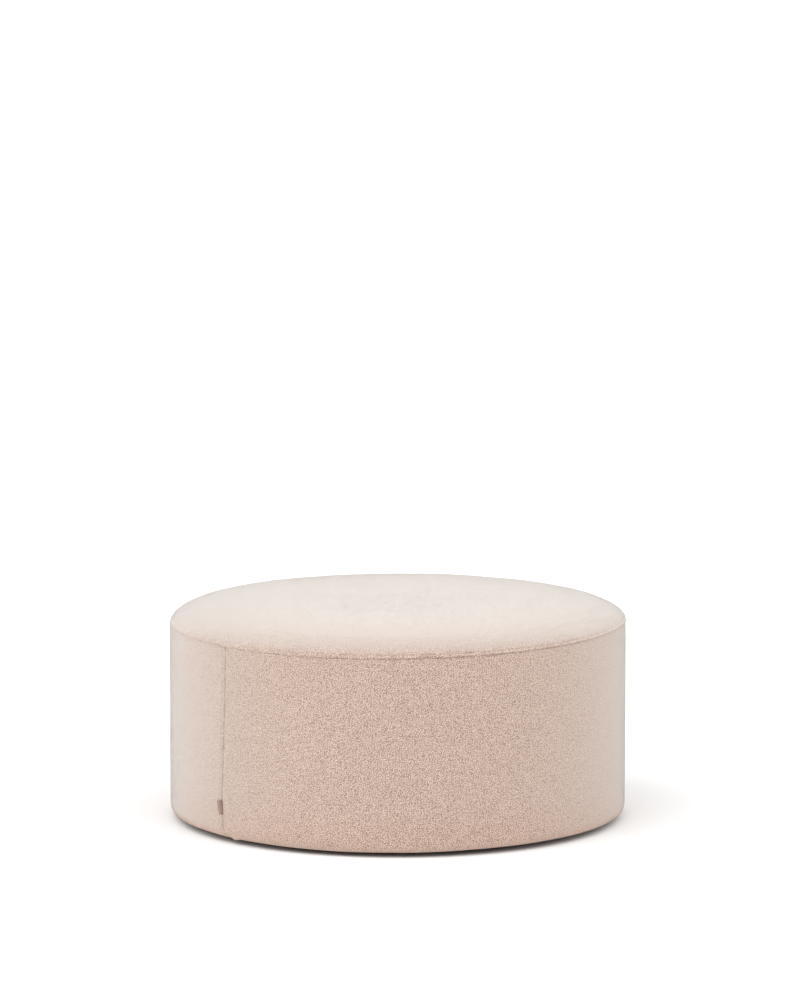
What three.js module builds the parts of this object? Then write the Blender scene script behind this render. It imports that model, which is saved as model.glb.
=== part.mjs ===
// A round footstool in curly fleece: a filled drum on low glides, with a crowned top panel, one
// long side band closed by an upright seam, a blank sewn-in label and a dark cloth underneath.
//
// Millimetres, +Z up. The origin is on the floor under the middle of the stool, whose front faces
// -Y. A bearing is an angle round the stool from the front, growing towards the right (+X).

import * as THREE from 'three';

// Driving dimensions of the whole stool
const STOOL_DIAMETER = 900;
const STOOL_HEIGHT = 428;
const SEAM_HEIGHT = 389; // mean height of the round seam over the floor
const SEAM_TILT = 5; // the round seam is this much higher at the right and lower at the left
const UPRIGHT_SEAM_TOP = THREE.MathUtils.degToRad(-47.6); // bearing of the upright seam's top end
const UPRIGHT_SEAM_TWIST = THREE.MathUtils.degToRad(-1.5); // turn from there to its bottom end
const SEAT_GAP = 0.3; // between pieces that touch

// Padding
const SHOULDER_WIDTH = 70; // how far the rounded shoulder of the top reaches inwards
const SHOULDER_RISE = 31; // and how far it rises over the round seam
const BOTTOM_ROLL = 19; // radius of the rounded edge at the bottom

// Sewing: both seams are stitched down again beside the join, above it or to its left
const SEAM_DEPTH = 4;
const SEAM_SPREAD = 2.2;
const STITCH_OFFSET = 7.5;
const STITCH_DEPTH = 1.4;
const STITCH_SPREAD = 1.3;
const TURNED_EDGE_LIFT = 1; // the edges turned under between the join and the stitching

// Base
const BASE_CLOTH_DIAMETER = 816;
const BASE_CLOTH_THICKNESS = 1.5;
const GLIDE_COUNT = 6;
const GLIDE_HEIGHT = 10;
const GLIDE_DIAMETER = 46;
const GLIDE_CIRCLE = 660; // diameter of the circle that the glides stand on
const GLIDE_EDGE = 2.5; // its rounded lower edge

// Label: a ribbon folded into a loop, whose two ends are caught in the upright seam
const LABEL_BOTTOM = 57.5; // of its sewn ends
const LABEL_HEIGHT = 27;
const LABEL_LAYER = 0.6;
const LABEL_LOOP_GAP = 0.5;
const LABEL_DEPTH = 1.7; // how far its sewn ends reach into the seam, below the plain wall
const LABEL_ROOT = 3.3; // from its sewn ends out to where it bends over
const LABEL_BEND = 4;
const LABEL_FLAP = 8; // from the bend to its fold
const LABEL_LEAN_BOTTOM = THREE.MathUtils.degToRad(-4); // of the flap, off the wall behind it
const LABEL_LEAN_TOP = THREE.MathUtils.degToRad(28);
const LABEL_DROOP = 3; // the fold hangs lower than the sewn end

// Fineness of the surfaces
const EVEN_COLUMNS = 96;
const ROLL_STEPS = 5;
const SHOULDER_STEPS = 9;
const CROWN_STEPS = 5;
const WALL_ROWS = 6;
const SEAM_OFFSETS = [0, 1.4, 3.2, 5.4, 7.5, 9.4, 12]; // distances from a seam that get points

// Derived sizes
const PLAIN_RADIUS = STOOL_DIAMETER / 2;
const BASE_CLOTH_BOTTOM = GLIDE_HEIGHT + SEAT_GAP;
const BAND_BOTTOM = BASE_CLOTH_BOTTOM + BASE_CLOTH_THICKNESS + SEAT_GAP;
const CROWN_RISE = STOOL_HEIGHT - SEAM_HEIGHT - SHOULDER_RISE;

const fleece = new THREE.MeshStandardMaterial({ color: 0xd9bcae, roughness: 1, metalness: 0 });
const ribbon = new THREE.MeshStandardMaterial({ color: 0xa8968e, roughness: 0.8, metalness: 0 });
const baseCloth = new THREE.MeshStandardMaterial({ color: 0x1b1715, roughness: 1, metalness: 0 });
const plastic = new THREE.MeshStandardMaterial({ color: 0x151413, roughness: 0.55, metalness: 0 });

// How far the cloth stands out beside a seam. The join is a groove; on its positive side the
// edges turned under lift the cloth, and the second row of stitching pulls it in again.
function seamRelief(offset) {
  const dent = (centre, spread) => Math.exp(-(((offset - centre) / spread) ** 2));
  const lifted = offset > 0 && offset < STITCH_OFFSET;
  const lift = lifted ? Math.sin((Math.PI * offset) / STITCH_OFFSET) : 0;
  const groove = SEAM_DEPTH * dent(0, SEAM_SPREAD);
  return TURNED_EDGE_LIFT * lift - groove - STITCH_DEPTH * dent(STITCH_OFFSET, STITCH_SPREAD);
}

function evenBearings(count) {
  return Array.from({ length: count }, (_, step) => (step * 2 * Math.PI) / count);
}

// Even bearings, with finer ones in place of those that lie across the upright seam
function bandBearings() {
  const reach = SEAM_OFFSETS[SEAM_OFFSETS.length - 1];
  const across = [...SEAM_OFFSETS.slice(1).map((offset) => -offset), ...SEAM_OFFSETS]
    .map((offset) => offset / PLAIN_RADIUS);
  const clear = evenBearings(EVEN_COLUMNS)
    .map((bearing) => bearing - Math.PI)
    .filter((bearing) => Math.abs(bearing) > (1.5 * reach) / PLAIN_RADIUS);
  return [...across, ...clear].sort((a, b) => a - b);
}

// A closed body turned round the upright axis from a profile of (radius, height) points that runs
// from the axis at the bottom to the axis at the top. place(bearing, point) gives each point's
// own [bearing, radius, height], so that a seam can wander and dent the cloth.
function turned(profile, bearings, place) {
  const geometry = new THREE.LatheGeometry(profile, bearings.length);
  const position = geometry.getAttribute('position');
  [...bearings, bearings[0]].forEach((start, column) => {
    profile.forEach((point, row) => {
      const [bearing, radius, height] = place(start, point);
      const x = radius * Math.sin(bearing);
      const y = -radius * Math.cos(bearing);
      position.setXYZ(column * profile.length + row, x, y, height);
    });
  });
  geometry.deleteAttribute('normal');
  geometry.deleteAttribute('uv');
  return geometry;
}

// The tilt of the round seam, which dies out over the stretch between the seam and a level height
function tilted(bearing, radius, height, levelHeight) {
  const share = THREE.MathUtils.clamp((height - levelHeight) / (SEAM_HEIGHT - levelHeight), 0, 1);
  return height + SEAM_TILT * share * Math.sin(bearing) * (radius / PLAIN_RADIUS);
}

// The top panel with its padding: flat under, an elliptical shoulder and a low crown
function topPanelProfile() {
  const turns = [
    ...SEAM_OFFSETS.map((offset) => offset / SHOULDER_RISE),
    ...Array.from({ length: SHOULDER_STEPS }, (_, step) => {
      const start = SEAM_OFFSETS[SEAM_OFFSETS.length - 1] / SHOULDER_RISE;
      return start + ((step + 1) / SHOULDER_STEPS) * (Math.PI / 2 - start);
    }),
  ];
  const shoulder = turns.map((turn) => {
    const out = Math.cos(turn) / SHOULDER_WIDTH;
    const up = Math.sin(turn) / SHOULDER_RISE;
    const relief = seamRelief(turn * SHOULDER_RISE) / Math.hypot(out, up);
    return new THREE.Vector2(
      PLAIN_RADIUS - SHOULDER_WIDTH * (1 - Math.cos(turn)) + relief * out,
      SEAM_HEIGHT + SEAT_GAP / 2 + SHOULDER_RISE * Math.sin(turn) + relief * up,
    );
  });
  const crownRadius = PLAIN_RADIUS - SHOULDER_WIDTH;
  const crown = Array.from({ length: CROWN_STEPS }, (_, step) => {
    const share = 1 - (step + 1) / CROWN_STEPS;
    const rise = SHOULDER_RISE + CROWN_RISE * (1 - share ** 2) ** 2;
    return new THREE.Vector2(share * crownRadius, SEAM_HEIGHT + rise);
  });
  return [new THREE.Vector2(0, SEAM_HEIGHT + SEAT_GAP / 2), ...shoulder, ...crown];
}

function topPanel() {
  const place = (bearing, point) => {
    const height = tilted(bearing, point.x, point.y, SEAM_HEIGHT + SHOULDER_RISE);
    return [bearing, point.x, height];
  };
  return new THREE.Mesh(turned(topPanelProfile(), evenBearings(EVEN_COLUMNS), place), fleece);
}

// The side band with its padding: a straight wall, rounded at the bottom and drawn in at the seam
function sideBandProfile() {
  const rollCentre = PLAIN_RADIUS - BOTTOM_ROLL;
  const roll = Array.from({ length: ROLL_STEPS + 1 }, (_, step) => {
    const turn = ((step / ROLL_STEPS) * Math.PI) / 2;
    return new THREE.Vector2(
      rollCentre + BOTTOM_ROLL * Math.sin(turn),
      BAND_BOTTOM + BOTTOM_ROLL * (1 - Math.cos(turn)),
    );
  });
  const wallBottom = BAND_BOTTOM + BOTTOM_ROLL;
  const wallTop = SEAM_HEIGHT - SEAT_GAP / 2;
  const drawnIn = SEAM_OFFSETS.filter((offset) => offset < STITCH_OFFSET).reverse();
  const rows = Array.from({ length: WALL_ROWS }, (_, step) => {
    const height = wallBottom + ((step + 1) / (WALL_ROWS + 1)) * (wallTop - wallBottom);
    return new THREE.Vector2(PLAIN_RADIUS, height);
  });
  const lip = drawnIn.map((below) => {
    return new THREE.Vector2(PLAIN_RADIUS + seamRelief(-below), wallTop - below);
  });
  const floor = new THREE.Vector2(0, BAND_BOTTOM);
  return [floor, ...roll, ...rows, ...lip, new THREE.Vector2(0, wallTop)];
}

function uprightSeamBearing(height) {
  const down = (SEAM_HEIGHT - height) / (SEAM_HEIGHT - BAND_BOTTOM);
  return UPRIGHT_SEAM_TOP + UPRIGHT_SEAM_TWIST * THREE.MathUtils.clamp(down, 0, 1);
}

function sideBand() {
  const place = (beside, point) => {
    const onWall = point.x > PLAIN_RADIUS - BOTTOM_ROLL - SEAM_DEPTH;
    const dent = onWall ? seamRelief(-beside * PLAIN_RADIUS) : 0;
    const deepest = Math.min(point.x, PLAIN_RADIUS - SEAM_DEPTH);
    const radius = Math.max(point.x + dent, deepest);
    const bearing = uprightSeamBearing(point.y) + beside;
    return [bearing, radius, tilted(bearing, point.x, point.y, BAND_BOTTOM)];
  };
  return new THREE.Mesh(turned(sideBandProfile(), bandBearings(), place), fleece);
}

// A point of the ribbon's section: u runs from its sewn ends out to the fold, w across it. Returns
// how far the point lies to the left of the upright seam and how far out it is.
function ribbonPoint(u, w) {
  const lean = (LABEL_LEAN_BOTTOM + LABEL_LEAN_TOP) / 2;
  const radius = LABEL_BEND / (Math.PI / 2 - lean);
  const turn = THREE.MathUtils.clamp(u - LABEL_ROOT, 0, LABEL_BEND) / radius;
  const straight = Math.max(0, u - LABEL_ROOT - LABEL_BEND);
  const left = radius * (1 - Math.cos(turn)) + straight * Math.sin(turn);
  const out = Math.min(u, LABEL_ROOT) + radius * Math.sin(turn) + straight * Math.cos(turn);
  return new THREE.Vector2(left - w * Math.cos(turn), out - LABEL_DEPTH + w * Math.sin(turn));
}

// The label's section: out of the seam, round the bend and along the wall, in two layers that a
// round fold joins
function labelSection() {
  const inner = LABEL_LOOP_GAP / 2;
  const outer = inner + LABEL_LAYER;
  const fold = LABEL_ROOT + LABEL_BEND + LABEL_FLAP - outer;
  const bend = [0, 0.25, 0.5, 0.75, 1].map((share) => LABEL_ROOT + share * LABEL_BEND);
  const stops = [0, ...bend, fold];
  const layer = (w) => stops.map((u) => ribbonPoint(u, w));
  const round = (radius) => [1, 2, 3, 4, 5].map((step) => {
    const turn = (step / 6) * Math.PI;
    return ribbonPoint(fold + radius * Math.sin(turn), -radius * Math.cos(turn));
  });
  return new THREE.Shape([
    ...layer(-outer),
    ...round(outer),
    ...layer(outer).reverse(),
    ...layer(inner),
    ...round(inner).reverse(),
    ...layer(-inner).reverse(),
  ]);
}

function label() {
  const settings = { depth: LABEL_HEIGHT, steps: 5, bevelEnabled: false };
  const geometry = new THREE.ExtrudeGeometry(labelSection(), settings);
  const position = geometry.getAttribute('position');
  const leanChange = LABEL_LEAN_TOP - LABEL_LEAN_BOTTOM;
  for (let index = 0; index < position.count; index += 1) {
    const left = position.getX(index);
    const up = position.getZ(index);
    const leanMore = leanChange * (up / LABEL_HEIGHT - 0.5);
    const out = position.getY(index) + Math.max(0, left) * Math.tan(leanMore);
    const bearing = uprightSeamBearing(LABEL_BOTTOM + up);
    const radius = PLAIN_RADIUS + out;
    const x = radius * Math.sin(bearing) - left * Math.cos(bearing);
    const y = -radius * Math.cos(bearing) - left * Math.sin(bearing);
    const height = LABEL_BOTTOM + up - LABEL_DROOP * (left / LABEL_FLAP);
    position.setXYZ(index, x, y, height);
  }
  return new THREE.Mesh(geometry, ribbon);
}

function disc(radius, bottom, top) {
  const profile = [[0, bottom], [radius, bottom], [radius, top], [0, top]]
    .map(([r, z]) => new THREE.Vector2(r, z));
  return turned(profile, evenBearings(EVEN_COLUMNS), (bearing, point) => [bearing, point.x, point.y]);
}

function baseClothPiece() {
  const top = BASE_CLOTH_BOTTOM + BASE_CLOTH_THICKNESS;
  return new THREE.Mesh(disc(BASE_CLOTH_DIAMETER / 2, BASE_CLOTH_BOTTOM, top), baseCloth);
}

// A round plastic glide, flat above and below, with a rounded lower edge
function glide() {
  const radius = GLIDE_DIAMETER / 2;
  const edge = [0, 1, 2, 3].map((step) => {
    const turn = (step / 3) * (Math.PI / 2);
    return new THREE.Vector2(
      radius - GLIDE_EDGE + GLIDE_EDGE * Math.sin(turn),
      GLIDE_EDGE * (1 - Math.cos(turn)),
    );
  });
  const profile = [
    new THREE.Vector2(0, 0),
    ...edge,
    new THREE.Vector2(radius, GLIDE_HEIGHT),
    new THREE.Vector2(0, GLIDE_HEIGHT),
  ];
  const geometry = new THREE.LatheGeometry(profile, 24);
  return new THREE.Mesh(geometry.rotateX(Math.PI / 2), plastic);
}

function named(name, mesh) {
  mesh.name = name;
  return mesh;
}

const footstool = new THREE.Group();
footstool.add(named('top_panel', topPanel()));
footstool.add(named('side_band', sideBand()));
footstool.add(named('label', label()));
footstool.add(named('base_cloth', baseClothPiece()));
evenBearings(GLIDE_COUNT).forEach((bearing, index) => {
  const mesh = named(`glide_${index + 1}`, glide());
  const reach = GLIDE_CIRCLE / 2;
  mesh.position.set(reach * Math.sin(bearing), -reach * Math.cos(bearing), 0);
  footstool.add(mesh);
});

export default footstool;
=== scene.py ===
import math

import bpy
import numpy as np
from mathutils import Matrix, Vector, noise


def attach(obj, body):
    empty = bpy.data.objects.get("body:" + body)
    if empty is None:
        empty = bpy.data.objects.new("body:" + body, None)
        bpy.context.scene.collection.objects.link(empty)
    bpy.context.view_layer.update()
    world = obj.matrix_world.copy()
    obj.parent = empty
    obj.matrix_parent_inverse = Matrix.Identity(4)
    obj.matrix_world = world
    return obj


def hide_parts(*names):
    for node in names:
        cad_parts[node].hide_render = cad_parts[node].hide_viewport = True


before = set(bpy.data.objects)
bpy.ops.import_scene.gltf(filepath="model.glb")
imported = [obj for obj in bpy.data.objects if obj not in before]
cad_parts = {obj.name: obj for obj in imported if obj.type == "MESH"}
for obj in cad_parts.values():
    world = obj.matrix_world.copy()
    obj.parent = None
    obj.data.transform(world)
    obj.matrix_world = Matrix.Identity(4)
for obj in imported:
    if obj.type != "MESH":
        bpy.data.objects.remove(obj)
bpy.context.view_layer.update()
scene = bpy.context.scene

# A bearing is an angle round the stool from its front (-Y), growing towards its right (+X).


# Camera
# It stands far off in front of the stool, about 2.5 m over the floor, and looks a little down.
CAMERA_DISTANCE = 12.661
CAMERA_HEIGHT = 2.490
CAMERA_ASIDE = 0.0046
CAMERA_PITCH = math.radians(8.3675)
CAMERA_LENS = 234.06

camera = bpy.data.objects.new("camera", bpy.data.cameras.new("camera"))
camera.data.lens = CAMERA_LENS
camera.data.clip_end = 300
camera.location = (CAMERA_ASIDE, -CAMERA_DISTANCE, CAMERA_HEIGHT)
camera.rotation_euler = (math.pi / 2 - CAMERA_PITCH, 0, 0)
scene.collection.objects.link(camera)
scene.camera = camera


# Studio: floor and light
# A white studio floor that runs on past the picture, a white surround that is brighter overhead and
# behind, a wide soft light on each side, of which the left one is stronger, and a weak one at the
# right, a little behind.
FLOOR_SIDE = 240.0
FLOOR_COLOUR = (0.70, 0.70, 0.70, 1.0)
SURROUND_LOW = 0.825
SURROUND_UP = 0.233
SURROUND_BACK = 0.29
LIGHTS = (
    # name, strength, spread, bearing and height over the floor in degrees
    ("left_light", 2.23, 70, -56, 45),
    ("right_light", 1.42, 70, 55, 45),
    ("back_light", 0.22, 70, 110, 45),
)


class Wire:
    """One output of a node in a tree of nodes. Sums, products and the like of wires and numbers
    add Math nodes, and node() adds any other node."""

    def __init__(self, tree, socket=None):
        self.tree = tree
        self.socket = socket

    def node(self, kind, settings, sockets, output=0):
        """Adds a node: its settings first, then the values or wires of its sockets, by name,
        identifier or place. Returns the wire of one output."""
        added = self.tree.nodes.new(kind)
        for name, value in settings.items():
            if name == "stops":
                ramp = added.color_ramp
                while len(ramp.elements) < len(value):
                    ramp.elements.new(0.5)
                for element, (place, colour) in zip(ramp.elements, value):
                    element.position = place
                    element.color = (*colour, 1.0)
            else:
                setattr(added, name, value)
        for key, value in sockets.items():
            socket = self.found(added.inputs, key)
            if isinstance(value, Wire):
                self.tree.links.new(value.socket, socket)
            else:
                socket.default_value = value
        return Wire(self.tree, self.found(added.outputs, output)) if added.outputs else None

    @staticmethod
    def found(sockets, key):
        if isinstance(key, int):
            return sockets[key]
        return next(s for s in sockets if key == s.identifier or (key == s.name and s.enabled))

    def maths(self, operation, *values):
        return self.node("ShaderNodeMath", {"operation": operation}, dict(enumerate(values)))

    def __add__(self, other):
        return self.maths("ADD", self, other)

    def __sub__(self, other):
        return self.maths("SUBTRACT", self, other)

    def __rsub__(self, other):
        return self.maths("SUBTRACT", other, self)

    def __mul__(self, other):
        return self.maths("MULTIPLY", self, other)

    def __truediv__(self, other):
        return self.maths("DIVIDE", self, other)

    def __pow__(self, other):
        return self.maths("POWER", self, other)

    __radd__ = __add__
    __rmul__ = __mul__

    def clamped(self):
        return self.maths("MINIMUM", self.maths("MAXIMUM", self, 0.0), 1.0)

    def mixed(self, low, high, blend="MIX"):
        """A colour between low and high, by this wire's value."""
        ends = {"Factor_Float": self, "A_Color": low, "B_Color": high}
        kind = {"data_type": "RGBA", "blend_type": blend}
        return self.node("ShaderNodeMix", kind, ends, "Result_Color")

    def place(self):
        """Where a point of the piece is, in metres."""
        return self.node("ShaderNodeTexCoord", {}, {}, "Object")

    def kept(self, name, output="Fac"):
        """A value that the mesh keeps under this name."""
        return self.node("ShaderNodeAttribute", {"attribute_name": name}, {}, output)

    def specks(self, scale, **more):
        """Noise through the piece: scale is about how many specks lie in a metre."""
        sockets = {"Vector": self.place(), "Scale": scale, **more}
        return self.node("ShaderNodeTexNoise", {}, sockets, "Fac")

    def bumped(self, distance, strength, height, **more):
        """The surface's normal over a relief of this height."""
        sockets = {"Strength": strength, "Distance": distance, "Height": height, **more}
        return self.node("ShaderNodeBump", {}, sockets, "Normal")

    def ramp(self, *stops):
        """A colour by this wire's value, from stops of a place and a colour."""
        return self.node("ShaderNodeValToRGB", {"stops": stops}, {"Fac": self}, "Color")


def started(name):
    """A new material with no nodes in it yet, and a wire to add nodes from."""
    material = bpy.data.materials.new(name)
    material.use_nodes = True
    material.node_tree.nodes.clear()
    return material, Wire(material.node_tree)


def shaded(start, sockets):
    """Ends a material in one Principled shader."""
    shader = start.node("ShaderNodeBsdfPrincipled", {}, sockets)
    start.node("ShaderNodeOutputMaterial", {}, {"Surface": shader})


def studio_floor():
    material, start = started("studio_floor")
    shaded(start, {
        "Base Color": FLOOR_COLOUR, "Specular IOR Level": 0.0,
        "Roughness": start.specks(40.0) * 0.1 + 0.8})
    return material


half = FLOOR_SIDE / 2
floor_mesh = bpy.data.meshes.new("floor")
corners = [(-half, -half, 0), (half, -half, 0), (half, half, 0), (-half, half, 0)]
floor_mesh.from_pydata(corners, [], [(0, 1, 2, 3)])
floor_mesh.materials.append(studio_floor())
floor = bpy.data.objects.new("floor", floor_mesh)
scene.collection.objects.link(floor)

surround = bpy.data.worlds.new("surround")
surround.use_nodes = True
surround.node_tree.nodes.clear()
start = Wire(surround.node_tree)
backward = start.node("ShaderNodeSeparateXYZ", {}, {0: start.place()}, "Y")
upward = start.node("ShaderNodeSeparateXYZ", {}, {0: start.place()}, "Z").clamped()
sky = start.node("ShaderNodeBackground", {}, {
    "Color": (1, 1, 1, 1),
    "Strength": upward * SURROUND_UP + backward * SURROUND_BACK + SURROUND_LOW})
start.node("ShaderNodeOutputWorld", {}, {"Surface": sky})
scene.world = surround

for name, strength, spread, bearing, height in LIGHTS:
    lamp = bpy.data.objects.new(name, bpy.data.lights.new(name, "SUN"))
    lamp.data.energy = strength
    lamp.data.angle = math.radians(spread)
    side, up = math.radians(bearing), math.radians(height)
    way = Vector((math.sin(side) * math.cos(up), -math.cos(side) * math.cos(up), math.sin(up)))
    lamp.rotation_euler = way.to_track_quat("Z", "Y").to_euler()
    scene.collection.objects.link(lamp)
scene.view_settings.view_transform = "Standard"


# Top panel
# A round of curly fleece over foam, with a low crown and a soft shoulder. It is sewn to the side
# band face to face, then its turned edge is stitched down again a little above the join.
STOOL_RADIUS = 0.450
SEAM_HEIGHT = 0.3867
SEAM_TILT = 0.005
LEFT_RISE = 0.0034
LEFT_RISE_BEARING = math.radians(-80)
LEFT_RISE_HALF_WIDTH = math.radians(35)
SEAT_GAP = 0.0003
TOP_UNDER_RADII = (0.30, 0.42, 0.4445)
SHOULDER_WIDTH = 0.070
SHOULDER_RISE = 0.0333
CROWN_RISE = 0.005
SEAM_DEPTH = 0.0012
SEAM_SPREAD = 0.0014
STITCH_OFFSET = 0.0075
STITCH_DEPTH = 0.0010
STITCH_SPREAD = 0.0013
TURNED_EDGE_LIFT = 0.0010
PUCKER_HEIGHT = 0.0010
TOP_LUMP_HEIGHT = 0.0008
# chance unevenness round the stool: waves a turn, then seed
PUCKERS = (300, 3.1)
TOP_STRAYS = (330, 7.7)
LONG_PULLS = (170, 4.4)
SHORT_PULLS = (430, 8.1)
# chance unevenness through space: size of a lump in metres, then seed
TOP_LUMPS = (0.11, 5.0)
SEAM_PATCHES = (0.006, 2.0)
SEAM_ROWS = np.array([0, 0.7, 1.4, 2.2, 3.2, 4.3, 5.4, 6.5, 7.5, 8.5, 9.6, 11, 13]) / 1000
COLUMNS = 480
TOP_END = 1.985
CAGE_COLUMNS = 96
CAGE_END = 1.97
PRESSURE = 4.0
SETTLING_FRAMES = 20
TOP_SWELL = 0.003
# bearings in degrees between which the pile comes to close over the round seam, at each side
CLOSED_LEFT = (-48, -4)
CLOSED_RIGHT = (42, 70)
PILE_HALF = 0.0010
# root and tip colours: painted shade at the curls' roots and on the ground, painted light on their
# tops
FLEECE_ROOT_SHADE = (0.28, 0.188, 0.148)
FLEECE_MIDDLE = (0.60, 0.467, 0.390)
FLEECE_TIP_LIGHT = (0.92, 0.748, 0.655)
FLEECE_PAINTED_SHEEN = (0.53, 0.516, 0.493, 1.0)
FLEECE_MEAN = 0.4
SHEEN_MOST = 0.74
PAINTED_SHADING_STRENGTH = 0.16
# within this height of the floor the fleece has a painted warm shade, as of light bounced off the
# floor
FOOT_PAINTED_SHADE = (0.985, 0.925, 0.895, 1.0)
FOOT_HEIGHT = 0.085
# the sheen normal in degrees above level, which steers the painted sheen, and the painted shade on
# the shoulder, from the seam (0) to the end of the shoulder (1) and on over the crown
SHADING_WAYS = (0.0, 0.10, 0.19, 0.33, 0.5, 0.67, 0.83, 1.0, 1.22, 1.5)
SHEEN_NORMAL_ANGLES = (20, 34, 54, 66, 72.5, 74.5, 76.5, 79, 84, 90)
PAINTED_SHOULDER_SHADE = (0.15, 0.4, 0.55, 0.8, 1.0, 0.92, 0.8, 0.6, 0.2, 0.0)


def seam_relief(offset):
    """How far the cloth stands out beside a seam, offset metres above it or to its left."""
    def dent(centre, spread):
        return np.exp(-(((offset - centre) / spread) ** 2))
    under = (offset > 0) & (offset < STITCH_OFFSET)
    lift = np.where(under, np.sin(math.pi * offset / STITCH_OFFSET), 0)
    pulled = SEAM_DEPTH * dent(0, SEAM_SPREAD) + STITCH_DEPTH * dent(STITCH_OFFSET, STITCH_SPREAD)
    return TURNED_EDGE_LIFT * lift - pulled


def eased(value, low, high):
    """A smooth step from 0 at low to 1 at high."""
    share = np.clip((value - low) / (high - low), 0, 1)
    return share * share * (3 - 2 * share)


def wander(bearing, waves, seed):
    """Smooth chance unevenness round the stool, from -1 to 1, with so many waves a turn."""
    reach = waves / (2 * math.pi)
    places = np.ravel(bearing)
    drawn = [noise.noise((reach * math.sin(b), reach * math.cos(b), seed)) for b in places]
    return np.reshape(drawn, np.shape(bearing))


def seam_closed(bearing):
    """How far the pile closes over the round seam: far at the left, less at the right."""
    front = np.mod(bearing + math.pi, 2 * math.pi) - math.pi
    left_part = 1 - eased(front, *np.radians(CLOSED_LEFT))
    return left_part + 0.5 * eased(front, *np.radians(CLOSED_RIGHT))


def seam_pull(bearing):
    """How hard the round seam draws the cloth in, unevenly and less where the pile closes."""
    uneven = 0.8 * wander(bearing, *LONG_PULLS) + 0.6 * wander(bearing, *SHORT_PULLS)
    return (1 - 0.95 * seam_closed(bearing)) * (1 + uneven)


def lumps(points, size, seed):
    """Smooth chance unevenness through space, from -1 to 1, in lumps of this size."""
    drawn = [noise.noise(Vector(p) / size + Vector((seed, 0, 0))) for p in points.reshape(-1, 3)]
    return np.reshape(drawn, points.shape[:-1])


def revolved(bearing, radius, height):
    """Points in space from a bearing, radius and height for each column and row."""
    return np.stack([radius * np.sin(bearing), -radius * np.cos(bearing), height], axis=-1)


def closed_body(name, points, bottom, top):
    """A closed mesh from points[column, row] and a pole at each end. Rows run up the outside."""
    columns, rows, _ = points.shape
    vertices = [tuple(p) for p in points.reshape(-1, 3)] + [bottom, top]
    low_pole = columns * rows
    faces = []
    for column in range(columns):
        here = column * rows
        beyond = ((column + 1) % columns) * rows
        faces.append((beyond, here, low_pole))
        faces.extend((here + r, beyond + r, beyond + r + 1, here + r + 1) for r in range(rows - 1))
        faces.append((here + rows - 1, beyond + rows - 1, low_pole + 1))
    mesh = bpy.data.meshes.new(name)
    mesh.from_pydata(vertices, [], faces)
    mesh.shade_smooth()
    mesh.update()
    return mesh


def shown(name, mesh):
    """A shown piece of the stool, which rides on its one body."""
    piece = bpy.data.objects.new(name, mesh)
    scene.collection.objects.link(piece)
    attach(piece, "root")
    return piece


def swollen(name, points, bottom, top, pinned_rows, most):
    """How far the filling presses each point out along its normal, up to most, in a cloth
    simulation of a coarse cage. pinned_rows and the bottom pole stay where they are."""
    mesh = closed_body(name, points, bottom, top)
    cage = bpy.data.objects.new(name, mesh)
    scene.collection.objects.link(cage)
    columns, rows, _ = points.shape
    held = cage.vertex_groups.new(name="held")
    pinned = [c * rows + r for c in range(columns) for r in pinned_rows]
    held.add([*pinned, columns * rows], 1.0, "REPLACE")
    cloth = cage.modifiers.new("cloth", "CLOTH")
    cloth.settings.use_pressure = True
    cloth.settings.uniform_pressure_force = PRESSURE
    cloth.settings.vertex_group_mass = "held"
    cloth.settings.effector_weights.gravity = 0
    for frame_number in range(1, SETTLING_FRAMES + 1):
        scene.frame_set(frame_number)
    graph = bpy.context.evaluated_depsgraph_get()
    settled = cage.evaluated_get(graph).to_mesh()
    moved = np.empty(len(settled.vertices) * 3)
    settled.vertices.foreach_get("co", moved)
    moved = moved.reshape(-1, 3)[: columns * rows].reshape(points.shape)
    normals = np.empty(len(mesh.vertices) * 3)
    mesh.vertices.foreach_get("normal", normals)
    normals = normals.reshape(-1, 3)[: columns * rows].reshape(points.shape)
    out = np.sum((moved - points) * normals, axis=-1)
    scene.frame_set(1)
    bpy.data.objects.remove(cage)
    return np.clip(out * min(1.0, most / out.max()), -most, most)


def spread_over(swell, cage_rows, bearings, rows):
    """The cage's swelling at the finer columns and rows."""
    columns = swell.shape[0]
    turns = np.linspace(0, 2 * math.pi, columns + 1)
    closed = np.vstack([swell, swell[:1]])
    by_row = np.array([np.interp(rows, cage_rows, line) for line in closed])
    at = np.mod(bearings, 2 * math.pi)
    return np.array([np.interp(at[:, r], turns, by_row[:, r]) for r in range(len(rows))]).T


def top_profile(way):
    """The top's outline. way is 0 at the seam, 1 at the end of the shoulder and 2 in the middle.
    Returns radius, height, the outward normal's two parts and the distance along the shoulder."""
    turn = np.clip(way, 0, 1) * math.pi / 2
    share = np.clip(2 - way, 0, 1)
    radius = np.where(way <= 1, STOOL_RADIUS - SHOULDER_WIDTH * (1 - np.cos(turn)),
                      share * (STOOL_RADIUS - SHOULDER_WIDTH))
    crown = CROWN_RISE * (1 - share**4)
    height = SEAM_HEIGHT + SEAT_GAP / 2 + SHOULDER_RISE * np.sin(turn) + np.where(way > 1, crown, 0)
    out = np.cos(turn) / SHOULDER_WIDTH
    up = np.sin(turn) / SHOULDER_RISE
    length = np.hypot(out, up)
    return radius, height, out / length, up / length, turn * SHOULDER_RISE


def tilted(bearing, radius, height, level):
    """A height, with the tilt of the round seam, which dies out towards the level height. The seam
    also climbs a little at the far left."""
    share = np.clip((height - level) / (SEAM_HEIGHT - level), 0, 1)
    from_left = np.mod(bearing - LEFT_RISE_BEARING + math.pi, 2 * math.pi) - math.pi
    climb = LEFT_RISE * np.exp(-((from_left / LEFT_RISE_HALF_WIDTH) ** 2))
    return height + (SEAM_TILT * np.sin(bearing) + climb) * share * (radius / STOOL_RADIUS)


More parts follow.
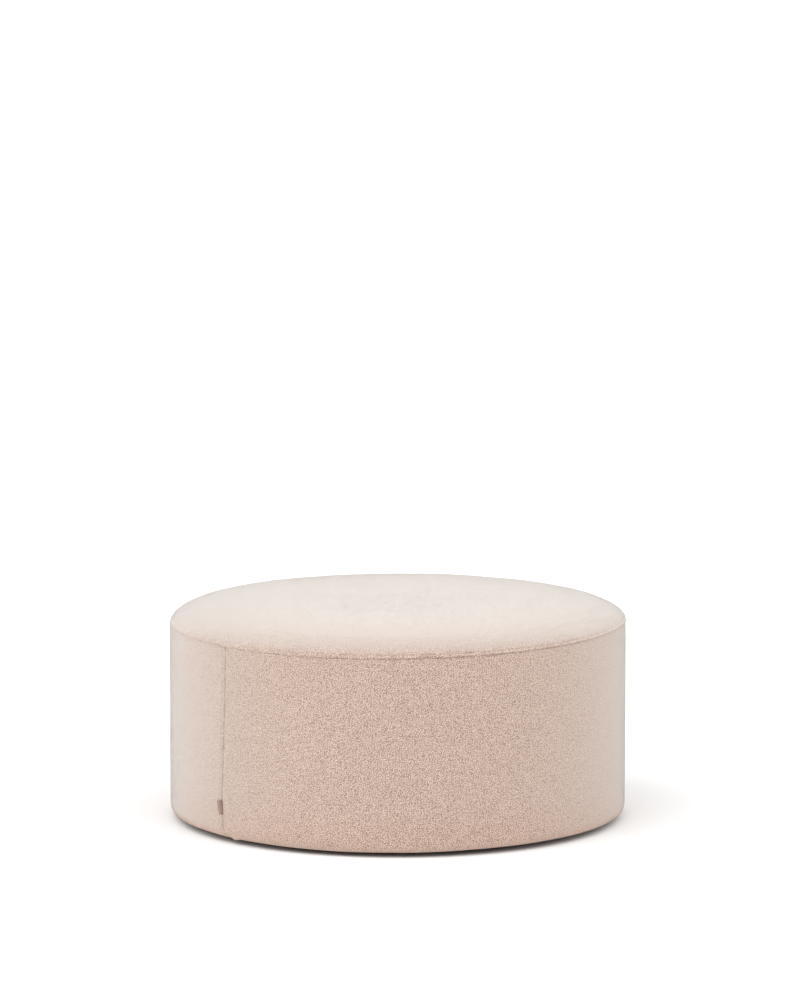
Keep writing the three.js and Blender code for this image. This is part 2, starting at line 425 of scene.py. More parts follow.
def top_points(bearing, way, swell):
    """The top's outline at each bearing, swollen by the filling and tilted with the seam."""
    radius, height, out, up, offset = top_profile(way)
    spread = np.ones_like(bearing)
    radius = radius * spread + swell * out
    height = height * spread + swell * up
    height = tilted(bearing, radius, height, SEAM_HEIGHT + SHOULDER_RISE)
    return radius, height, out * spread, up * spread, offset * spread


cage_way = np.concatenate([np.linspace(0, 1, 13), np.linspace(1, CAGE_END, 30)[1:]])
cage_bearing = np.linspace(0, 2 * math.pi, CAGE_COLUMNS, endpoint=False)[:, None] + 0 * cage_way
seam_way = SEAM_ROWS / SHOULDER_RISE / (math.pi / 2)
top_way = np.concatenate([
    seam_way, np.linspace(seam_way[-1], 1, 15)[1:], np.linspace(1, TOP_END, 26)[1:],
])
bearing = np.linspace(0, 2 * math.pi, COLUMNS, endpoint=False)[:, None] + 0 * top_way
top_swell = TOP_SWELL * np.clip(top_way - 1, 0, 1) + 0 * bearing
radius, height, *_ = top_points(cage_bearing, cage_way, 0)
pressed = swollen(
    "top_cage",
    revolved(cage_bearing, radius, height),
    (0, 0, SEAM_HEIGHT),
    (0, 0, SEAM_HEIGHT + SHOULDER_RISE + CROWN_RISE),
    (0, 1),
    TOP_SWELL,
)
top_swell = spread_over(pressed, cage_way, bearing, top_way)

radius, height, out, up, offset = top_points(bearing, top_way, top_swell)
relief = seam_relief(offset) * seam_pull(bearing)
pucker = wander(bearing, *PUCKERS) * np.exp(-(((offset - 0.009) / 0.006) ** 2))
uneven = lumps(revolved(bearing, radius, height), *TOP_LUMPS) * eased(offset, 0.004, 0.03)
sunk = np.maximum(eased(offset, 0, 0.004), np.minimum(seam_closed(bearing), 1))
relief = relief + PUCKER_HEIGHT * pucker + TOP_LUMP_HEIGHT * uneven - PILE_HALF * sunk
radius = radius + relief * out
height = height + relief * up
under = np.array([TOP_UNDER_RADII]) + 0 * bearing[:, :1]
under_height = 0 * under + SEAM_HEIGHT + SEAT_GAP / 2
under_bearing = bearing[:, :1] + 0 * under
under_height = tilted(under_bearing, under, under_height, SEAM_HEIGHT + SHOULDER_RISE)
points = np.concatenate([
    revolved(under_bearing, under, under_height),
    revolved(bearing, radius, height),
], axis=1)
top_mesh = closed_body(
    "top_panel_fleece", points, (0, 0, SEAM_HEIGHT + SEAT_GAP / 2),
    (0, 0, float(height[:, -1].mean())),
)
strays = 0.0014 * wander(bearing, *TOP_STRAYS) + 0.0015 * seam_closed(bearing)
pile = eased(offset + strays, -0.0006, 0.0010)
pile = pile * (1 - 0.75 * np.exp(-(((offset - STITCH_OFFSET) / STITCH_SPREAD) ** 2)))
pile = np.concatenate([0 * under, pile], axis=1)


def record_pile(mesh, pile, lie, opened):
    """Keeps on each point how thick and tall the pile stands, the sheen normal for the painted
    sheen,
    and the painted shading: painted shade above 0, painted light below 0."""
    for name, kind, key, values in (
            ("pile", "FLOAT", "value", [*np.ravel(pile), 0, 1]),
            ("lie", "FLOAT_VECTOR", "vector", [*np.ravel(lie), 0, 0, -1, 0, 0, 1]),
            ("opened", "FLOAT", "value", [*np.ravel(opened), 0, 0])):
        mesh.attributes.new(name, kind, "POINT").data.foreach_set(key, values)


lean = np.radians(np.interp(top_way, SHADING_WAYS, SHEEN_NORMAL_ANGLES)) + 0 * bearing
level = revolved(under_bearing, 0 * under, 0 * under - 1)
lie = np.concatenate([level, revolved(bearing, np.cos(lean), np.sin(lean))], axis=1)
patchy = lumps(revolved(bearing, radius, height), *SEAM_PATCHES)
# painted shade over the shoulder, and in patches beside the round seam
opened = np.interp(top_way, SHADING_WAYS, PAINTED_SHOULDER_SHADE) + 1.1 * patchy * np.exp(
    -(((offset - 0.006) / 0.009) ** 2))
record_pile(top_mesh, pile, lie, np.concatenate([0 * under, opened], axis=1))


def fleece_tone(start, share):
    """The yarn's colour: share runs from 0 at a root (painted shade) to 1 at a tip (painted light).
    A painted sheen veils the dark roots at a low angle to the sheen normal and turns pale, most as
    painted light where the cloth faces up. Near the floor it has a painted warm shade. Returns it
    and how squarely the cloth is seen."""
    lie = start.kept("lie", "Vector")
    slant = start.node("ShaderNodeLayerWeight", {}, {"Blend": 0.5, "Normal": lie}, "Facing")
    upward = start.node("ShaderNodeSeparateXYZ", {}, {0: lie}, "Z")
    level = start.maths("MAXIMUM", upward, 0.0)
    # the painted root shade fades at a low angle, and most of it where the cloth faces straight up
    steady = (1.0 - slant**2.0) * (1.0 - level**60.0 * 0.75)
    # painted shading darkens the tone, or lightens it where below 0
    veiled = (share - FLEECE_MEAN) * steady + FLEECE_MEAN - start.kept("opened") * PAINTED_SHADING_STRENGTH
    tone = veiled.ramp((0.0, FLEECE_ROOT_SHADE), (FLEECE_MEAN, FLEECE_MIDDLE), (1.0, FLEECE_TIP_LIGHT))
    # painted warm shade near the floor
    height = start.node("ShaderNodeSeparateXYZ", {}, {0: start.place()}, "Z")
    foot = (1.0 - height * (1 / FOOT_HEIGHT)).clamped() ** 0.8
    tone = foot.mixed(tone, FOOT_PAINTED_SHADE, "MULTIPLY")
    # painted sheen: paler as the sheen normal turns from the view, more where it faces up, less
    # where it faces down
    pale = start.maths("MINIMUM", slant**1.7 * (level * 0.14 + 0.85), SHEEN_MOST)
    pale = pale * (upward * 2.0 + 1.0).clamped()
    return pale.mixed(tone, FLEECE_PAINTED_SHEEN), 1.0 - slant


def soft_matt(start, tone, bump):
    """Ends a material of the fleece in its shader."""
    shaded(start, {
        "Base Color": tone, "Roughness": 0.95, "Specular IOR Level": 0.2,
        "Sheen Weight": 0.1, "Sheen Roughness": 0.5, "Normal": bump})


def fleece_ground():
    """The knitted ground of the fleece, painted dark as the shade between the curls, which cast
    none.
    """
    material, start = started("fleece_ground")
    worms = start.specks(320.0, Detail=2.0, Distortion=1.2)
    fibres = start.specks(1300.0)
    pile = start.kept("pile")
    tone, square = fleece_tone(start, worms * (pile * 0.2 + 1.0) - 0.35 - pile * 0.1)
    soft_matt(start, tone, start.bumped(0.0015, 0.9, (worms + fibres * 0.25) * square**2.0))
    return material


ground = fleece_ground()
top_mesh.materials.append(ground)
top_panel = shown("top_panel_fleece", top_mesh)
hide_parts("top_panel")


# Side band
# One long strip of the same fleece round the foam drum, closed by one upright seam at the left of
# the front. Its top edge is sewn to the top panel and its bottom edge is pulled under and held.
SEAM_HEIGHTS = (0.02, 0.035, 0.055, 0.10, 0.13, 0.21, 0.29, 0.3867)
SEAM_BEARINGS = (-48.4, -48.8, -49.1, -49.1, -48.8, -48.4, -47.8, -47.6)
BAND_BOTTOM = 0.0121
BOTTOM_ROLL = 0.0145
BAND_SWELL = 0.0015
FRONT_SAG = 0.0026
SIDE_SAG = 0.0007
SAG_BEARING = math.radians(-10)
SAG_HALF_WIDTH = math.radians(33)
SAG_HEIGHT = 0.09
FOLD_BEARING = math.radians(-45.1)
FOLD_HALF_WIDTH = math.radians(1.1)
FOLD_DROP = 0.0031
UPRIGHT_SHARE = 1.1
UPRIGHT_SPREAD = 0.0016
BAND_LUMP_HEIGHT = 0.0007
BAND_STRAYS = (360, 2.2)
BAND_LUMPS = (0.09, 9.0)
UPRIGHT_LUMPS = (0.007, 6.0)
UPRIGHT_STRAYS = (0.008, 3.0)
UPRIGHT_PATCHES = (0.011, 8.0)
# the rows on the underside, how thick the pile stands on them and the painted shade they carry
BAND_UNDER_RADII = (0.28, 0.385, 0.408, 0.420)
BAND_UNDER_PILE = (0, 0, 0.5, 1.0)
BAND_UNDER_PAINTED_SHADE = 2
BAND_INNER_RADII = (0.44, 0.30)
SHEEN_TURN = math.radians(3)
WALL_BOTTOM = BAND_BOTTOM + BOTTOM_ROLL
WALL_TOP = SEAM_HEIGHT - SEAT_GAP / 2


def upright_seam_bearing(height):
    """The seam leans a little, and wanders towards the label that is caught in it."""
    return np.radians(np.interp(height, SEAM_HEIGHTS, SEAM_BEARINGS))


def band_profile(way):
    """The band's outline: way is 0 where the roll leaves the underside, 1 at the foot of the wall
    and 2 at the round seam."""
    turn = np.clip(way, 0, 1) * math.pi / 2
    radius = STOOL_RADIUS - BOTTOM_ROLL * (1 - np.sin(turn))
    roll_height = BAND_BOTTOM + BOTTOM_ROLL * (1 - np.cos(turn))
    height = np.where(way <= 1, roll_height, WALL_BOTTOM + (way - 1) * (WALL_TOP - WALL_BOTTOM))
    return radius, height, np.sin(turn), -np.cos(turn)


wall_length = WALL_TOP - WALL_BOTTOM
lip = 2 - SEAM_ROWS[SEAM_ROWS < STITCH_OFFSET][::-1] / wall_length
band_way = np.concatenate([
    np.linspace(0, 1, 9), np.linspace(1, lip[0], 40)[1:-1], lip,
])
fine = np.concatenate([-SEAM_ROWS[:0:-1], SEAM_ROWS]) / STOOL_RADIUS
gap = SEAM_ROWS[-1] / STOOL_RADIUS
coarse = np.linspace(gap, 2 * math.pi - gap, COLUMNS)[1:-1]
beside = np.sort(np.mod(np.concatenate([fine, coarse]), 2 * math.pi))[:, None]
radius, height, out, up = band_profile(band_way)
bearing = upright_seam_bearing(height) + beside
left = -np.where(beside > math.pi, beside - 2 * math.pi, beside) * STOOL_RADIUS + 0 * bearing

band_swell = np.zeros_like(bearing)
cage_way = np.concatenate([np.linspace(0, 1, 4), np.linspace(1, 2, 34)[1:]])
cage_bearing = np.linspace(0, 2 * math.pi, CAGE_COLUMNS, endpoint=False)[:, None] + 0 * cage_way
cage_radius, cage_height, *_ = band_profile(cage_way)
cage_points = revolved(cage_bearing, cage_radius + 0 * cage_bearing,
                       tilted(cage_bearing, cage_radius, cage_height, BAND_BOTTOM))
last = len(cage_way) - 1
pressed = swollen("band_cage", cage_points, (0, 0, BAND_BOTTOM), (0, 0, SEAM_HEIGHT),
                  (0, 1, last - 1, last), BAND_SWELL)
band_swell = spread_over(pressed, cage_way, bearing, band_way)

below = np.where(band_way > 1, (2 - band_way) * wall_length, 1.0)
round_relief = np.where(below < STITCH_OFFSET, seam_relief(-below), 0)
round_relief = round_relief * seam_pull(bearing)
upright_relief = UPRIGHT_SHARE * seam_relief(left) * (1 + 0.7 * lumps(
    revolved(0 * bearing, 0, height + 0 * bearing), *UPRIGHT_LUMPS))
uneven = lumps(revolved(bearing, radius + 0 * bearing, height + 0 * bearing), *BAND_LUMPS)
plain = eased(below, 0.003, 0.03) * eased(np.abs(left), 0.003, 0.03)
relief = np.maximum(round_relief + upright_relief, -1.25 * SEAM_DEPTH)
sunk = np.maximum(eased(below, 0, 0.004), np.minimum(seam_closed(bearing), 1))
sunk = sunk * eased(band_way, 0.3, 1.0)
relief = relief + BAND_LUMP_HEIGHT * uneven * plain + band_swell - PILE_HALF * sunk
fold = np.exp(-(((bearing - FOLD_BEARING) / FOLD_HALF_WIDTH) ** 2) - ((band_way - 0.3) / 0.3) ** 2)
relief = relief + FOLD_DROP * fold
away = np.mod(bearing - SAG_BEARING + math.pi, 2 * math.pi) - math.pi
sag = SIDE_SAG + FRONT_SAG * np.exp(-((away / SAG_HALF_WIDTH) ** 2))
radius = radius + relief * out
height = height + relief * up - sag * (1 - eased(height, BAND_BOTTOM, SAG_HEIGHT))
height = tilted(bearing, radius, height, BAND_BOTTOM)
under = np.array([BAND_UNDER_RADII]) + 0 * beside
under_bearing = bearing[:, :1] + 0 * under
inner = np.array([BAND_INNER_RADII]) + 0 * beside
inner_bearing = bearing[:, -1:] + 0 * inner
points = np.concatenate([
    revolved(under_bearing, under, 0 * under + BAND_BOTTOM),
    revolved(bearing, radius, height),
    revolved(inner_bearing, inner, tilted(inner_bearing, inner, WALL_TOP, BAND_BOTTOM)),
], axis=1)
band_mesh = closed_body("side_band_fleece", points, (0, 0, BAND_BOTTOM), (0, 0, WALL_TOP))
outside = points[:, len(BAND_UNDER_RADII):-len(BAND_INNER_RADII)]
pile = eased(np.abs(left) + 0.0016 * lumps(outside, *UPRIGHT_STRAYS), 0.0008, 0.0027) * (
    1 - 0.5 * np.exp(-(((left - STITCH_OFFSET) / STITCH_SPREAD) ** 2)))
strays = 0.0018 * wander(bearing, *BAND_STRAYS) + 0.0034 * seam_closed(bearing)
pile = pile * eased(below + strays, 0.0004, 0.0020)
pile = np.concatenate([0 * under + [BAND_UNDER_PILE], pile, 0 * inner], axis=1)
level = revolved(under_bearing, 0 * under, 0 * under - 1)
# the sheen normal is turned a little round the stool, so the painted sheen is paler at the left and
# pinker at the right
lie = revolved(bearing - SHEEN_TURN, out + 0 * bearing, up + 0 * bearing)
lie = np.concatenate([level, lie, -level[:, :len(BAND_INNER_RADII)]], axis=1)
# painted shading of the band: shade to the right of the upright seam, light on the bottom roll,
# shade in the upright seam, deeper lower down
opened = np.where(left < 0, 0.15 * np.exp(-((left / 0.07) ** 2)), 0)
opened = opened - 0.8 * (1 - eased(band_way, 0.4, 1.1))
in_seam = np.exp(-((left / UPRIGHT_SPREAD) ** 2))
seam_painted_shade = 0.4 + 0.35 * (1 - eased(height, 0.05, 0.25))
opened = opened + in_seam * (seam_painted_shade + 1.7 * lumps(outside, *UPRIGHT_PATCHES))
opened = np.concatenate([0 * under + BAND_UNDER_PAINTED_SHADE, opened, 0 * inner], axis=1)
record_pile(band_mesh, pile, lie, opened)
band_mesh.materials.append(ground)
side_band = shown("side_band_fleece", band_mesh)
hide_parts("side_band")


# Curls of the fleece
# The pile is short loops of wool-like yarn, about 5 mm long, that lie every way in low relief.
# They cast no shadows, so their roots carry painted shade and their tops painted light. A seam
# thins them out.
CURL_LENGTH = 0.0048
CURL_WIDTH = 0.0021
CURL_HEIGHT = 0.0005
CURL_SPACING = 0.00309
CURL_DENSITY = 240000.0
# how far each kind of curl bends aside at its two humps, in lengths of the curl
CURL_SHAPES = ((0.12, -0.10), (-0.11, -0.03), (0.04, 0.13), (-0.08, 0.12))
CURL_SOFTNESS = 0.8
CURL_SIZES = (0.88, 1.14)


def curl_shape(name, first_bend, second_bend):
    """One closed curl along X on z = 0: an arched, bent ridge whose two ends sink in the ground."""
    ends, sides = -0.35 * CURL_HEIGHT, 0.3 * CURL_HEIGHT
    vertices = [
        (-CURL_LENGTH / 2, 0, ends), (CURL_LENGTH / 2, 0, ends),
        (-0.2 * CURL_LENGTH, first_bend * CURL_LENGTH, CURL_HEIGHT),
        (0.2 * CURL_LENGTH, second_bend * CURL_LENGTH, CURL_HEIGHT),
        (0, CURL_WIDTH / 2, sides), (0, -CURL_WIDTH / 2, sides),
    ]
    faces = [(0, 2, 4), (2, 3, 4), (3, 1, 4), (0, 5, 2), (2, 5, 3), (3, 5, 1), (0, 4, 5), (4, 1, 5)]
    mesh = bpy.data.meshes.new(name)
    mesh.from_pydata(vertices, [], faces)
    # tip: 0 at the sunk ends, 1 on top, for the painted shade at the roots and painted light on the
    # tops
    tip = mesh.attributes.new("tip", "FLOAT", "POINT")
    tip.data.foreach_set("value", [max(0.0, v[2] / CURL_HEIGHT) for v in vertices])
    return bpy.data.objects.new(name, mesh)


def curl_material():
    """Yarn with painted shade at its roots and painted light on its tops, and a painted pale sheen.
    """
    material, start = started("fleece_curls")
    facet = start.node("ShaderNodeNewGeometry", {}, {}, "Normal")
    fibres = start.specks(900.0)
    share = start.kept("tip") + (start.kept("curl") - 0.5) * 0.06 + (fibres - 0.5) * 0.3
    tone, square = fleece_tone(start, share)
    own_share = start.node("ShaderNodeVectorMath", {"operation": "SCALE"}, {
        0: facet, "Scale": square**2.0 * (1 - CURL_SOFTNESS)})
    shared = start.node("ShaderNodeVectorMath", {"operation": "SCALE"}, {
        0: start.kept("ground", "Vector"), "Scale": CURL_SOFTNESS})
    soft = start.node("ShaderNodeVectorMath", {"operation": "NORMALIZE"}, {
        0: start.node("ShaderNodeVectorMath", {"operation": "ADD"}, {0: own_share, 1: shared})})
    soft_matt(start, tone, start.bumped(0.0004, 0.4, fibres * square**2.0, Normal=soft))
    return material


def new_tree(name, **kinds):
    """A tree of geometry nodes with named inputs, and the wire of each."""
    tree = bpy.data.node_groups.new(name, "GeometryNodeTree")
    for label, kind in kinds.items():
        tree.interface.new_socket(label, in_out="INPUT", socket_type="NodeSocket" + kind)
    tree.interface.new_socket("geometry", in_out="OUTPUT", socket_type="NodeSocketGeometry")
    entry = tree.nodes.new("NodeGroupInput")
    wires = {label: Wire(tree, entry.outputs[label]) for label in kinds}
    return tree, Wire(tree), wires


def ended(start, placed, material):
    """Ends a tree: what it placed is made real, smooth and of one material."""
    whole = start.node("GeometryNodeRealizeInstances", {}, {"Geometry": placed})
    smooth = start.node("GeometryNodeSetShadeSmooth", {}, {"Geometry": whole})
    worn = start.node("GeometryNodeSetMaterial", {}, {"Geometry": smooth, "Material": material})
    start.node("NodeGroupOutput", {}, {"geometry": worn})


def curl_tree():
    """Curls spread evenly over a surface, each turned at random, in one sector of several."""
    tree, start, given = new_tree(
        "curls", surface="Geometry", spacing="Float", density="Float", seed="Int",
        sectors="Int", sector="Int", shapes="Collection", material="Material")

    def drawn(low, high, further):
        """A chance number for each curl, from a seed further on."""
        return start.node("FunctionNodeRandomValue", {"data_type": "FLOAT"}, {
            "Min_001": low, "Max_001": high, "Seed": given["seed"] + further}, "Value_001")

    pile = start.node("GeometryNodeInputNamedAttribute", {"data_type": "FLOAT"}, {"Name": "pile"},
                      "Attribute")
    spread = start.node(
        "GeometryNodeDistributePointsOnFaces", {"distribute_method": "POISSON"}, {
            "Mesh": given["surface"], "Distance Min": given["spacing"],
            "Density Max": given["density"], "Density Factor": pile, "Seed": given["seed"],
        }, "Points")
    rotation, upright = (Wire(tree, spread.socket.node.outputs[n]) for n in ("Rotation", "Normal"))
    place = start.node("GeometryNodeInputPosition", {}, {})
    split = start.node("ShaderNodeSeparateXYZ", {}, {0: place})
    x, y = (Wire(tree, split.socket.node.outputs[axis]) for axis in (0, 1))
    turn = start.maths("ARCTAN2", x, y * -1.0) / (2 * math.pi) + 0.5
    sector = start.maths("FLOOR", turn * given["sectors"] * 0.99999)
    inside = start.maths("COMPARE", sector, given["sector"], 0.5)
    kept = start.node("GeometryNodeDeleteGeometry", {"domain": "POINT"}, {
        "Geometry": spread, "Selection": 1.0 - inside})
    kept = start.node("GeometryNodeStoreNamedAttribute", {
        "data_type": "FLOAT_VECTOR", "domain": "POINT"}, {
            "Geometry": kept, "Name": "ground", "Value": upright})
    shape = start.node("GeometryNodeCollectionInfo", {}, {
        "Collection": given["shapes"], "Separate Children": True, "Reset Children": True})
    which = start.node("FunctionNodeRandomValue", {"data_type": "INT"}, {
        "Min_002": 0, "Max_002": len(CURL_SHAPES) - 1, "Seed": given["seed"] + 1}, "Value_002")
    about = start.node("FunctionNodeAxisAngleToRotation", {}, {
        "Axis": (0, 0, 1), "Angle": drawn(0.0, 2 * math.pi, 2)})
    turned = start.node("FunctionNodeRotateRotation", {"rotation_space": "LOCAL"}, {
        0: rotation, 1: about})
    size = drawn(*CURL_SIZES, 3) * (pile * 0.35 + 0.65)
    placed = start.node("GeometryNodeInstanceOnPoints", {}, {
        "Points": kept, "Instance": shape, "Pick Instance": True, "Instance Index": which,
        "Rotation": turned, "Scale": size})
    marked = start.node("GeometryNodeStoreNamedAttribute", {
        "data_type": "FLOAT", "domain": "INSTANCE"}, {
            "Geometry": placed, "Name": "curl", "Value": drawn(0.0, 1.0, 4)})
    ended(start, marked, given["material"])
    return tree


def made_by(tree, name, surface, **sizes):
    """The plain mesh that a tree makes from a surface, as a shown piece."""
    carrier = bpy.data.objects.new(name + "_carrier", surface)
    scene.collection.objects.link(carrier)
    rule = carrier.modifiers.new("rule", "NODES")
    rule.node_group = tree
    for item in tree.interface.items_tree:
        if item.in_out == "INPUT" and item.name in sizes:
            rule[item.identifier] = sizes[item.name]
    graph = bpy.context.evaluated_depsgraph_get()
    mesh = bpy.data.meshes.new_from_object(carrier.evaluated_get(graph), depsgraph=graph)
    mesh.name = name
    bpy.data.objects.remove(carrier)
    return shown(name, mesh)


shapes = bpy.data.collections.new("curl_shapes")
for number, bends in enumerate(CURL_SHAPES):
    shapes.objects.link(curl_shape(f"curl_{number}", *bends))
curls = curl_tree()
curly = curl_material()
for surface, place, sectors, seed in ((band_mesh, "band", 4, 11), (top_mesh, "top", 2, 23)):
    for sector in range(sectors):
        piece = made_by(
            curls, f"{place}_curls_{sector + 1}", surface, spacing=CURL_SPACING,
            density=CURL_DENSITY, seed=seed, sectors=sectors, sector=sector, shapes=shapes,
            material=curly)
        piece.visible_shadow = False
        piece.visible_diffuse = False


# Stitching
# Two rows of lockstitch in matching thread that hold the turned edges down, one just above the
# round seam and one just to the left of the upright seam. Each stitch sinks into the pile.
STITCH_LENGTH = 0.0034
STITCH_PITCH = 0.0042
THREAD_THICK = 0.00035
# rows of the band at each end that the upright stitching leaves free
STITCH_FREE_ROWS = 6
THREAD_COLOURS = ((0.42, 0.31, 0.26), (0.56, 0.43, 0.37))


def stitch_shape():
    """One stitch along X: a short arched thread whose two ends dive into the cloth."""
    sides = 4
    vertices = [(-STITCH_LENGTH / 2, 0, -THREAD_THICK * 2)]
    for share in (-0.32, 0.32):
        for side in range(sides):
            turn = 2 * math.pi * side / sides
            across, over = THREAD_THICK * math.cos(turn), THREAD_THICK * math.sin(turn)
            vertices.append((share * STITCH_LENGTH, across, over))
    vertices.append((STITCH_LENGTH / 2, 0, -THREAD_THICK * 2))
    faces = []
    for side in range(sides):
        here, after = 1 + side, 1 + (side + 1) % sides
        faces.append((0, after, here))
        faces.append((here, after, after + sides, here + sides))
        faces.append((here + sides, after + sides, len(vertices) - 1))
    mesh = bpy.data.meshes.new("stitch")
    mesh.from_pydata(vertices, [], faces)
    return bpy.data.objects.new("stitch", mesh)


def thread_material():
    """Spun thread, twisted from lighter and darker strands."""
    material, start = started("thread")
    strands = start.specks(1800.0)
    tone = strands.ramp((0.3, THREAD_COLOURS[0]), (0.7, THREAD_COLOURS[1]))
    shaded(start, {
        "Base Color": tone, "Roughness": strands * 0.2 + 0.5, "Sheen Weight": 0.3,
        "Normal": start.bumped(0.0002, 0.5, strands)})
    return material


def stitch_tree():
    """Stitches at even steps along a path, lying along it and upright on the cloth."""
    tree, start, given = new_tree(
        "stitches", path="Geometry", pitch="Float", shape="Object", material="Material")
    line = start.node("GeometryNodeMeshToCurve", {}, {0: given["path"]})
    stepped = start.node("GeometryNodeResampleCurve", {"mode": "LENGTH"}, {
        "Curve": line, "Length": given["pitch"]})
    along = start.node("GeometryNodeInputTangent", {}, {})
    upright = start.node("GeometryNodeInputNamedAttribute", {"data_type": "FLOAT_VECTOR"}, {
        "Name": "ground"}, "Attribute")
    lying = start.node("FunctionNodeAlignRotationToVector", {"axis": "X"}, {"Vector": along})
    lying = start.node("FunctionNodeAlignRotationToVector", {"axis": "Z", "pivot_axis": "X"}, {
        "Rotation": lying, "Vector": upright})
    shape = start.node("GeometryNodeObjectInfo", {}, {"Object": given["shape"]}, "Geometry")
    placed = start.node("GeometryNodeInstanceOnPoints", {}, {
        "Points": stepped, "Instance": shape, "Rotation": lying})
    ended(start, placed, given["material"])
    return tree


def path_mesh(name, places, uprights, closed):
    """A line through places[n], with the cloth's outward direction at each."""
    count = len(places)
    edges = [(n, n + 1) for n in range(count - 1)] + ([(count - 1, 0)] if closed else [])
    mesh = bpy.data.meshes.new(name)
    mesh.from_pydata([tuple(p) for p in places], edges, [])
    kept = mesh.attributes.new("ground", "FLOAT_VECTOR", "POINT")
    kept.data.foreach_set("vector", np.ravel(uprights))
    return mesh


def row_on(mesh, closed, picked):
    """A line through the picked points of a turned mesh, with their outward directions."""
    places = [mesh.vertices[n].co for n in picked]
    uprights = [mesh.vertex_normals[n].vector for n in picked]
    return path_mesh("stitch_row", places, uprights, closed)


top_rows = len(TOP_UNDER_RADII) + len(top_way)
on_top = len(TOP_UNDER_RADII) + int(np.argmin(np.abs(SEAM_ROWS - STITCH_OFFSET)))
round_row = row_on(top_mesh, True, [c * top_rows + on_top for c in range(COLUMNS)])
band_rows = points.shape[1]
beside_seam = int(np.argmin(np.abs(left[:, 0] - STITCH_OFFSET)))
upright_row = row_on(band_mesh, False, [
    beside_seam * band_rows + r for r in range(STITCH_FREE_ROWS, band_rows - STITCH_FREE_ROWS)])
stitches = stitch_tree()
thread = thread_material()
stitch = stitch_shape()
for name, row in (("round_stitching", round_row), ("upright_stitching", upright_row)):
    stitching = made_by(
        stitches, name, row, pitch=STITCH_PITCH, shape=stitch, material=thread)
bpy.data.objects.remove(stitch)


# Label
# A short length of plain woven taupe ribbon, folded into a loop. Its two cut ends are caught in
# the upright seam near the bottom, and the loop bends over to the left. It is blank.
LABEL_BOTTOM = 0.0575
LABEL_HEIGHT = 0.027
LABEL_LAYER = 0.0006
LABEL_LOOP_GAP = 0.0005
LABEL_DEPTH = 0.0017
LABEL_ROOT = 0.0022
LABEL_BEND = 0.003
LABEL_FLAP = 0.0070
LABEL_SKEW = 0.0052
LABEL_LEAN_BOTTOM = 0.0
LABEL_LEAN_TOP = math.radians(8)
LABEL_DROOP = 0.0018
LABEL_REACH = 0.008
LABEL_ROWS = 28
RIBBON_DARK = (0.17, 0.112, 0.088)
RIBBON_LIGHT = (0.36, 0.25, 0.205)
# a painted highlight on the loop's curve, centred this far from the fold, of this half width
RIBBON_HIGHLIGHT_AT = 0.0040
RIBBON_HIGHLIGHT_HALF = 0.0017
RIB_PITCH = 0.0006
WARP_PITCH = 0.0004


def ribbon_point(u, w):
    """A point of the loop's section: u runs from the sewn ends out to the fold, w across it.
    Returns how far it is to the left of the upright seam and how far out."""
    lean = (LABEL_LEAN_BOTTOM + LABEL_LEAN_TOP) / 2
    bend_radius = LABEL_BEND / (math.pi / 2 - lean)
    turn = np.clip(u - LABEL_ROOT, 0, LABEL_BEND) / bend_radius
    straight = np.maximum(0, u - LABEL_ROOT - LABEL_BEND)
    to_left = bend_radius * (1 - np.cos(turn)) + straight * np.sin(turn) - w * np.cos(turn)
    outward = np.minimum(u, LABEL_ROOT) + bend_radius * np.sin(turn) + straight * np.cos(turn)
    return to_left, outward - LABEL_DEPTH + w * np.sin(turn)


def ribbon_surface(shift):
    """Points[stop, row] of the ribbon, shift to one side of its middle, from one sewn end round
    the fold to the other, and the length along it."""
    middle = (LABEL_LOOP_GAP + LABEL_LAYER) / 2
    bent = LABEL_ROOT + LABEL_BEND
    fold = bent + LABEL_FLAP - middle - LABEL_LAYER / 2
    out_stops = np.concatenate([
        [0, LABEL_ROOT * 0.6], np.linspace(LABEL_ROOT, bent, 9), np.linspace(bent, fold, 8)[1:]])
    turn = np.linspace(0, math.pi, 11)[1:-1]
    reach = middle + shift
    u = np.concatenate([out_stops, fold + reach * np.sin(turn), out_stops[::-1]])
    w = np.concatenate([0 * out_stops - reach, -reach * np.cos(turn), 0 * out_stops + reach])
    to_left, outward = (part[:, None] for part in ribbon_point(u, w))
    up = np.linspace(0, LABEL_HEIGHT, LABEL_ROWS)[None, :]
    more_lean = (LABEL_LEAN_TOP - LABEL_LEAN_BOTTOM) * (up / LABEL_HEIGHT - 0.5)
    outward = outward + np.maximum(0, to_left) * np.tan(more_lean)
    bearing = upright_seam_bearing(LABEL_BOTTOM + up) + 0 * outward
    to_left = to_left + LABEL_SKEW * (up / LABEL_HEIGHT - 0.6)
    radius = STOOL_RADIUS + outward
    x = radius * np.sin(bearing) - to_left * np.cos(bearing)
    y = -radius * np.cos(bearing) - to_left * np.sin(bearing)
    z = LABEL_BOTTOM + up - LABEL_DROOP * (to_left / LABEL_REACH)
    whole = 2 * fold + middle * math.pi
    along = np.concatenate([out_stops, fold + middle * turn, whole - out_stops[::-1]])
    return np.stack([x, y, z + 0 * x], axis=-1), along


